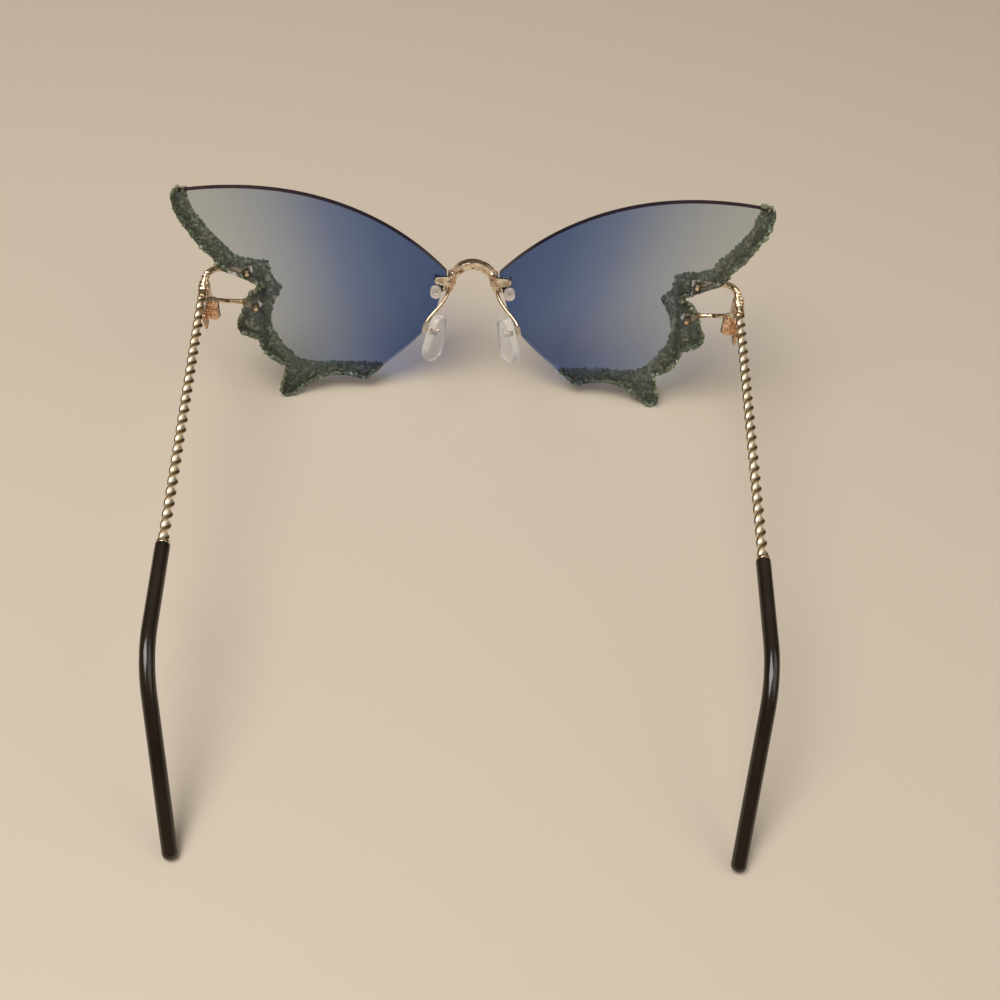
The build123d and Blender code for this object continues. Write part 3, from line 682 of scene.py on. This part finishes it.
# Crystal border
def make_crystal_tree():
    """Faceted chips strewn over a surface, close together, each turned and sized by chance."""
    inputs = [
        ("Surface", "NodeSocketGeometry", None),
        ("Spacing", "NodeSocketFloat", CRYSTAL_SPACING),
        ("Density", "NodeSocketFloat", CRYSTALS_PER_SQUARE_METRE),
        ("Smallest", "NodeSocketFloat", CRYSTAL_SMALLEST),
        ("Largest", "NodeSocketFloat", CRYSTAL_LARGEST),
        ("Seed", "NodeSocketInt", CRYSTAL_SEED),
        ("Material", "NodeSocketMaterial", None),
    ]
    outputs = [("Chips", "NodeSocketGeometry")]
    tree, given, result = new_group("crystal chips", "GeometryNodeTree", inputs, outputs)
    spots = add(
        tree,
        "GeometryNodeDistributePointsOnFaces",
        {
            "Mesh": given.outputs["Surface"],
            "Distance Min": given.outputs["Spacing"],
            "Density Max": given.outputs["Density"],
            "Seed": given.outputs["Seed"],
        },
        distribute_method="POISSON",
    )
    chip = add(tree, "GeometryNodeMeshIcoSphere", {"Radius": 1.0, "Subdivisions": 1})
    turn = add(
        tree,
        "FunctionNodeRandomValue",
        {"Min": (0.0, 0.0, 0.0), "Max": (math.tau, math.tau, math.tau), "Seed": given.outputs["Seed"]},
        data_type="FLOAT_VECTOR",
    )
    size = add(
        tree,
        "FunctionNodeRandomValue",
        {
            LOWEST_NUMBER: given.outputs["Smallest"],
            HIGHEST_NUMBER: given.outputs["Largest"],
            "Seed": given.outputs["Seed"],
        },
        data_type="FLOAT",
    )
    stretch = add(
        tree,
        "FunctionNodeRandomValue",
        {
            "Min": (CRYSTAL_NARROWEST, CRYSTAL_NARROWEST, CRYSTAL_FLATTEST),
            "Max": (1.0, 1.0, 1.0),
            "Seed": given.outputs["Seed"],
        },
        data_type="FLOAT_VECTOR",
    )
    scale = add(
        tree,
        "ShaderNodeVectorMath",
        {0: stretch.outputs[RANDOM_VECTOR], "Scale": size.outputs[RANDOM_NUMBER]},
        operation="SCALE",
    )
    placed = add(
        tree,
        "GeometryNodeInstanceOnPoints",
        {
            "Points": spots.outputs["Points"],
            "Instance": chip.outputs["Mesh"],
            "Rotation": turn.outputs[RANDOM_VECTOR],
            "Scale": scale.outputs["Vector"],
        },
    )
    shade = add(tree, "FunctionNodeRandomValue", {"Seed": given.outputs["Seed"]}, data_type="FLOAT")
    shaded = add(
        tree,
        "GeometryNodeStoreNamedAttribute",
        {
            "Geometry": placed.outputs["Instances"],
            "Name": "shade",
            "Value": shade.outputs[RANDOM_NUMBER],
        },
        data_type="FLOAT",
        domain="INSTANCE",
    )
    real = add(tree, "GeometryNodeRealizeInstances", {"Geometry": shaded.outputs["Geometry"]})
    finished = add(
        tree,
        "GeometryNodeSetMaterial",
        {"Geometry": real.outputs["Geometry"], "Material": given.outputs["Material"]},
    )
    tree.links.new(finished.outputs["Geometry"], result.inputs["Chips"])
    return tree


crystal_tree = make_crystal_tree()


def crystal_ground(bed, lens):
    """Where the chips sit: the front of the bed, and the rim of the lens beside it."""
    lens_surface = BVHTree.FromBMesh(lens)
    ground = bmesh.new()
    for face in bed.faces:
        facing = face.normal.dot(LENS_FRONT)
        if facing > BED_FRONT_FACING:
            ground.faces.new([ground.verts.new(vertex.co) for vertex in face.verts])
            continue
        probe = face.calc_center_median() + face.normal * RIM_PROBE - LENS_FRONT * RIM_PROBE_BACK
        place, normal, _, _ = lens_surface.find_nearest(probe)
        if abs(facing) > BED_RIM_FACING or (probe - place).dot(normal) < 0.0:
            continue
        for strip in range(RIM_STRIPS):
            back = LENS_FRONT * RIM_STRIP * strip
            ground.faces.new([ground.verts.new(vertex.co - back) for vertex in face.verts])
    return mesh_of("crystal ground", ground)


def make_crystal_border(side, seed):
    """The bed of glue, a hair in front of the lens, and the chips strewn over its front and rim."""
    bed = merged_copy(f"crystal_bed_{side}")
    bmesh.ops.translate(bed, verts=bed.verts, vec=LENS_FRONT * BED_GAP)
    lens = merged_copy(f"lens_{side}")
    ground = crystal_ground(bed, lens)
    lens.free()
    glue = mesh_of(f"crystal_bed_{side}_glue", bed)
    keep_in_box(glue)
    new_piece(f"glue_bed_{side}", glue, "front", "clear_glue", f"crystal_bed_{side}")
    chips = run_nodes(crystal_tree, ground, {"Seed": seed, "Material": crystal_material})
    keep_in_box(chips)
    new_piece(f"crystals_{side}", chips, "front", "crystal", f"crystal_chips_{side}")


for count, side in enumerate(SIDES):
    make_crystal_border(side, CRYSTAL_SEED + count)


# Hand-worked metal
def evenly_meshed(node_name, facet, rounds=WORKED_SMOOTHING):
    """A closed, even mesh of a CAD node, in millimetres, with its edges softened."""
    start_mesh = frame["nodes"][node_name].data.copy()
    start_mesh.transform(Matrix.Scale(1.0 / MM, 4))
    carrier = new_object("carrier", start_mesh)
    remesh = carrier.modifiers.new("even", "REMESH")
    remesh.mode = "VOXEL"
    remesh.voxel_size = facet
    soften = carrier.modifiers.new("soften", "SMOOTH")
    soften.iterations = rounds
    return outcome(carrier)


def hammer(mesh, spacing, depth):
    """Shallow round dimples, side by side, pressed into a mesh."""
    shape = bmesh.new()
    shape.from_mesh(mesh)
    shape.normal_update()
    for vertex in shape.verts:
        nearest = noise.voronoi(vertex.co / spacing)[0][0]
        vertex.co -= vertex.normal * depth * (1.0 - min(1.0, nearest / DIMPLE_REACH) ** 2)
    shape.to_mesh(mesh)
    shape.free()


def finish_worked(mesh):
    """Smooth shading, metres in place of millimetres, and no material left from the CAD node."""
    for face in mesh.polygons:
        face.use_smooth = True
    mesh.materials.clear()
    mesh.transform(Matrix.Scale(MM, 4))


def clamped(value):
    """The value, held between nought and one."""
    return min(max(value, 0.0), 1.0)


def refine_bridge(mesh):
    """Slim the feet, shorten and lower the claws, and taper the legs, in a mesh in millimetres."""
    for vertex in mesh.vertices:
        place = vertex.co - LENS_CORNER
        depth = place.dot(LENS_FRONT)
        level = place.dot(LENS_UPWARD)
        beyond = max(abs(place.x) - FOOT_INNER_EDGE, 0.0)
        outward = clamped(beyond / FOOT_BLEND)
        forward = clamped((depth - FOOT_BACK) / FOOT_BLEND)
        tapered = clamped((LEG_TOP - level) / (LEG_TOP - LEG_BOTTOM)) * (1.0 - outward) * LEG_TAPER
        axis = LEG_ACROSS + (LEG_TOP - level) * LEG_SPLAY
        narrower = (abs(place.x) - axis) * tapered + beyond * CLAW_SHORTENING * (1.0 - forward)
        vertex.co.x -= narrower * math.copysign(1.0, place.x)
        vertex.co -= LENS_FRONT * (depth - LEG_MIDDLE) * tapered
        vertex.co -= LENS_UPWARD * (level - FOOT_BOTTOM) * FOOT_SLIMMING * outward * forward
        beside_arch = clamped((abs(place.x) - ARCH_END) / FOOT_BLEND) * (1.0 - outward * forward)
        vertex.co -= LENS_UPWARD * max(level - CLAW_TOP, 0.0) * CLAW_LOWERING * beside_arch


def wind_stem(mesh):
    """Close turns of wire round the stem of an end piece, in a mesh in millimetres."""
    shape = bmesh.new()
    shape.from_mesh(mesh)
    shape.normal_update()
    for vertex in shape.verts:
        place = vertex.co
        inside = clamped((abs(place.x) - STEM_ACROSS) / WINDING_BLEND)
        inside *= clamped((place.y - WINDING_START) / WINDING_BLEND)
        inside *= clamped((WINDING_END - place.y) / WINDING_BLEND)
        turns = (place.y + place.z * WINDING_SLANT) / WINDING_PITCH
        vertex.co += vertex.normal * inside * WINDING_DEPTH * math.cos(math.tau * turns)
    shape.to_mesh(mesh)
    shape.free()


def make_bridge():
    """The hammered bridge."""
    mesh = evenly_meshed("bridge", BRIDGE_FACET)
    refine_bridge(mesh)
    hammer(mesh, BRIDGE_DIMPLE_SPACING, BRIDGE_DIMPLE_DEPTH)
    finish_worked(mesh)
    new_piece("hammered_bridge", mesh, "front", "gold_hammered", "bridge")


def make_fork(side):
    """The two-prong fork of an end piece, with turns of wire on its stem."""
    mesh = evenly_meshed(f"endpiece_{side}", FORK_FACET)
    wind_stem(mesh)
    hammer(mesh, SMALL_DIMPLE_SPACING, SMALL_DIMPLE_DEPTH)
    finish_worked(mesh)
    new_piece(f"fork_{side}", mesh, "front", "gold_metal", f"endpiece_{side}")


def make_hinge_leaf(leaf, side, body):
    """A leaf of a hinge, worn soft."""
    mesh = evenly_meshed(f"{leaf}_{side}", LEAF_FACET, LEAF_SMOOTHING)
    hammer(mesh, SMALL_DIMPLE_SPACING, SMALL_DIMPLE_DEPTH)
    finish_worked(mesh)
    new_piece(f"worn_{leaf}_{side}", mesh, body, "gold_hinge", f"{leaf}_{side}")


make_bridge()
for side in SIDES:
    make_fork(side)
    make_hinge_leaf("hinge_front_leaf", side, "front")
    make_hinge_leaf("hinge_rear_leaf", side, f"temple_{side}")


# Nose pad mounts
def make_pad_wire(side):
    """A smooth goose-neck wire from the bridge to a pad box."""
    data = bpy.data.curves.new("pad wire", "CURVE")
    data.dimensions = "3D"
    data.bevel_depth = PAD_WIRE_RADIUS * MM
    data.bevel_resolution = PAD_WIRE_ROUNDNESS
    data.resolution_u = PAD_WIRE_STEPS
    data.use_fill_caps = True
    line = data.splines.new("NURBS")
    line.points.add(len(PAD_WIRE_POINTS) - 1)
    for point, (across, along, level) in zip(line.points, PAD_WIRE_POINTS):
        point.co = (SIDES[side] * across * MM, along * MM, level * MM, 1.0)
    line.order_u = PAD_WIRE_ORDER
    line.use_endpoint_u = True
    carrier = bpy.data.objects.new("carrier", data)
    mesh = bpy.data.meshes.new_from_object(carrier)
    bpy.data.objects.remove(carrier)
    for face in mesh.polygons:
        face.use_smooth = True
    mesh.materials.append(pad_wire_material)
    new_piece(f"pad_wire_{side}", mesh, "front", "gold_metal", f"pad_arm_{side}")


def make_pad_mount(side):
    """The pad box with soft, polished corners."""
    mesh = evenly_meshed(f"pad_box_{side}", PAD_BOX_FACET)
    finish_worked(mesh)
    mesh.materials.append(pad_box_material)
    new_piece(f"pad_mount_{side}", mesh, "front", "gold_metal", f"pad_box_{side}")


for side in SIDES:
    make_pad_wire(side)
for side in SIDES:
    make_pad_mount(side)


# Temple ropes and collars
def make_rope_tree():
    """A flat bar, as two strands brazed side by side make, twisted along Z."""
    inputs = [
        ("Start", "NodeSocketGeometry", None),
        ("Length", "NodeSocketFloat", ROPE_LENGTH),
        ("Turns", "NodeSocketFloat", ROPE_LENGTH / ROPE_TURN),
        ("Half Width", "NodeSocketFloat", ROPE_HALF_WIDTH),
        ("Half Height", "NodeSocketFloat", ROPE_HALF_HEIGHT),
        ("Flattening", "NodeSocketFloat", ROPE_FLATTENING),
        ("Points", "NodeSocketInt", ROPE_POINTS),
        ("Sides", "NodeSocketInt", ROPE_SIDES),
        ("Material", "NodeSocketMaterial", None),
    ]
    outputs = [("Rope", "NodeSocketGeometry")]
    tree, given, result = new_group("rope", "GeometryNodeTree", inputs, outputs)
    end = add(tree, "ShaderNodeCombineXYZ", {"Z": given.outputs["Length"]})
    line = add(tree, "GeometryNodeCurvePrimitiveLine", {"End": end.outputs["Vector"]})
    points = add(
        tree,
        "GeometryNodeResampleCurve",
        {"Curve": line.outputs["Curve"], "Count": given.outputs["Points"]},
    )
    along = add(tree, "GeometryNodeSplineParameter").outputs["Factor"]
    turned = math_node(tree, "MULTIPLY", along, given.outputs["Turns"])
    twisted = add(
        tree,
        "GeometryNodeSetCurveTilt",
        {
            "Curve": points.outputs["Curve"],
            "Tilt": math_node(tree, "MULTIPLY", turned, math.tau),
        },
    )
    circle = add(
        tree,
        "GeometryNodeCurvePrimitiveCircle",
        {"Resolution": given.outputs["Sides"], "Radius": 1.0},
    )
    place = add(tree, "GeometryNodeInputPosition")
    parts = add(tree, "ShaderNodeSeparateXYZ", {"Vector": place.outputs["Position"]})
    marked = add(
        tree,
        "GeometryNodeStoreNamedAttribute",
        {
            "Geometry": circle.outputs["Curve"],
            "Name": "outward",
            "Value": math_node(tree, "ABSOLUTE", parts.outputs["X"]),
        },
        data_type="FLOAT",
        domain="POINT",
    )
    edgeward = math_node(tree, "MULTIPLY", parts.outputs["X"], parts.outputs["X"])
    raised = math_node(tree, "MULTIPLY", edgeward, given.outputs["Flattening"])
    thinned = math_node(tree, "SUBTRACT", 1.0, given.outputs["Flattening"])
    fullness = math_node(tree, "ADD", raised, thinned)
    rounded = math_node(tree, "MULTIPLY", parts.outputs["Y"], fullness)
    height = math_node(tree, "MULTIPLY", rounded, given.outputs["Half Height"])
    width = math_node(tree, "MULTIPLY", parts.outputs["X"], given.outputs["Half Width"])
    section_place = add(tree, "ShaderNodeCombineXYZ", {"X": width, "Y": height})
    section = add(
        tree,
        "GeometryNodeSetPosition",
        {"Geometry": marked.outputs["Geometry"], "Position": section_place.outputs["Vector"]},
    )
    bar = add(
        tree,
        "GeometryNodeCurveToMesh",
        {
            "Curve": twisted.outputs["Curve"],
            "Profile Curve": section.outputs["Geometry"],
            "Fill Caps": True,
        },
    )
    real = add(tree, "GeometryNodeRealizeInstances", {"Geometry": bar.outputs["Mesh"]})
    smooth = add(tree, "GeometryNodeSetShadeSmooth", {"Geometry": real.outputs["Geometry"]})
    finished = add(
        tree,
        "GeometryNodeSetMaterial",
        {"Geometry": smooth.outputs["Geometry"], "Material": given.outputs["Material"]},
    )
    tree.links.new(finished.outputs["Geometry"], result.inputs["Rope"])
    return tree


rope_tree = make_rope_tree()
hinge_pins = {joint["name"]: Vector(joint["pos_m"]) for joint in frame["joints"]}


def temple_frame(side):
    """The place and turn of a temple's start: Z along the rope, X towards the other temple."""
    out = SIDES[side]
    run = Vector((
        -out * math.sin(TEMPLE_TOE_IN) * math.cos(TEMPLE_SLOPE),
        math.cos(TEMPLE_TOE_IN) * math.cos(TEMPLE_SLOPE),
        -math.sin(TEMPLE_SLOPE),
    ))
    inward = Vector((-out * math.cos(TEMPLE_TOE_IN), -math.sin(TEMPLE_TOE_IN), 0.0))
    start = hinge_pins[f"temple_{side}_fold"] + Vector((out * ROPE_OUTSET, ROPE_SETBACK, ROPE_RISE))
    turned = Matrix((inward, run.cross(inward), run)).transposed()
    return Matrix.Translation(start) @ turned.to_4x4()


def make_rope(side):
    """The twisted rope of a temple."""
    start_mesh = bpy.data.meshes.new("rope start")
    rope = run_nodes(rope_tree, start_mesh, {"Material": rope_material})
    rope.transform(temple_frame(side))
    new_piece(f"rope_{side}", rope, f"temple_{side}", "gold_rope", f"temple_rope_{side}")


def make_collar(side):
    """The ring between rope and sleeve, a little smaller than the sleeve."""
    collar = merged_copy(f"temple_collar_{side}")
    bmesh.ops.transform(collar, matrix=temple_frame(side).inverted(), verts=collar.verts)
    end = max(vertex.co.z for vertex in collar.verts)
    for vertex in collar.verts:
        vertex.co.x *= COLLAR_WIDTH_SHARE
        vertex.co.y *= COLLAR_WIDTH_SHARE
        vertex.co.z = end + (vertex.co.z - end) * COLLAR_LENGTH_SHARE
    bmesh.ops.transform(collar, matrix=temple_frame(side), verts=collar.verts)
    mesh = mesh_of(f"temple_collar_{side}_ring", collar)
    new_piece(f"collar_{side}", mesh, f"temple_{side}", "gold_metal", f"temple_collar_{side}")


for side in SIDES:
    make_rope(side)
    make_collar(side)


# Floor, light and camera
def make_floor():
    """A plain pale floor."""
    shape = bmesh.new()
    bmesh.ops.create_grid(shape, x_segments=1, y_segments=1, size=FLOOR_REACH)
    mesh = mesh_of("floor", shape)
    material, _, _ = new_material("floor", Base_Color=FLOOR_COLOUR, Roughness=FLOOR_ROUGHNESS)
    mesh.materials.append(material)
    new_object("floor", mesh)


def make_sky():
    """Soft light from above, less from the level, and a pale backdrop that only the camera sees."""
    world = bpy.data.worlds.new("studio")
    world.use_nodes = True
    bpy.context.scene.world = world
    tree = world.node_tree
    sky = add(tree, "ShaderNodeTexCoord")
    height = add(tree, "ShaderNodeSeparateXYZ", {"Vector": sky.outputs["Generated"]})
    glow = ramp(tree, height.outputs["Z"], SKY_STOPS)
    camera_ray = add(tree, "ShaderNodeLightPath").outputs["Is Camera Ray"]
    seen = colour_mix(tree, camera_ray, glow, BACKDROP_COLOUR)
    tree.links.new(seen, tree.nodes["Background"].inputs["Color"])


def make_lamp(name, place, power, colour):
    """A square soft lamp at a place, aimed at the glasses."""
    data = bpy.data.lights.new(name, "AREA")
    data.energy = power
    data.size = LAMP_WIDTH
    data.color = colour
    lamp = new_object(name, data)
    lamp.location = place
    lamp.rotation_mode = "QUATERNION"
    lamp.rotation_quaternion = (-Vector(place)).to_track_quat("-Z", "Y")


def make_camera():
    """The camera at the photograph's viewing angle."""
    data = bpy.data.cameras.new("camera")
    data.lens = FOCAL_LENGTH
    data.sensor_width = SENSOR_WIDTH
    camera = new_object("camera", data)
    back = Vector((
        math.sin(CAMERA_AZIMUTH) * math.cos(CAMERA_ELEVATION),
        -math.cos(CAMERA_AZIMUTH) * math.cos(CAMERA_ELEVATION),
        math.sin(CAMERA_ELEVATION),
    ))
    camera.rotation_mode = "QUATERNION"
    rolled = Matrix.Rotation(CAMERA_ROLL, 3, back).to_quaternion()
    camera.rotation_quaternion = rolled @ (-back).to_track_quat("-Z", "Y")
    camera.location = CAMERA_TARGET + back * CAMERA_DISTANCE
    bpy.context.scene.camera = camera


make_floor()
make_sky()
make_lamp("key", KEY_PLACE, KEY_POWER, KEY_COLOUR)
make_lamp("fill", FILL_PLACE, FILL_POWER, FILL_COLOUR)
make_camera()
bpy.context.scene.view_settings.view_transform = "Standard"
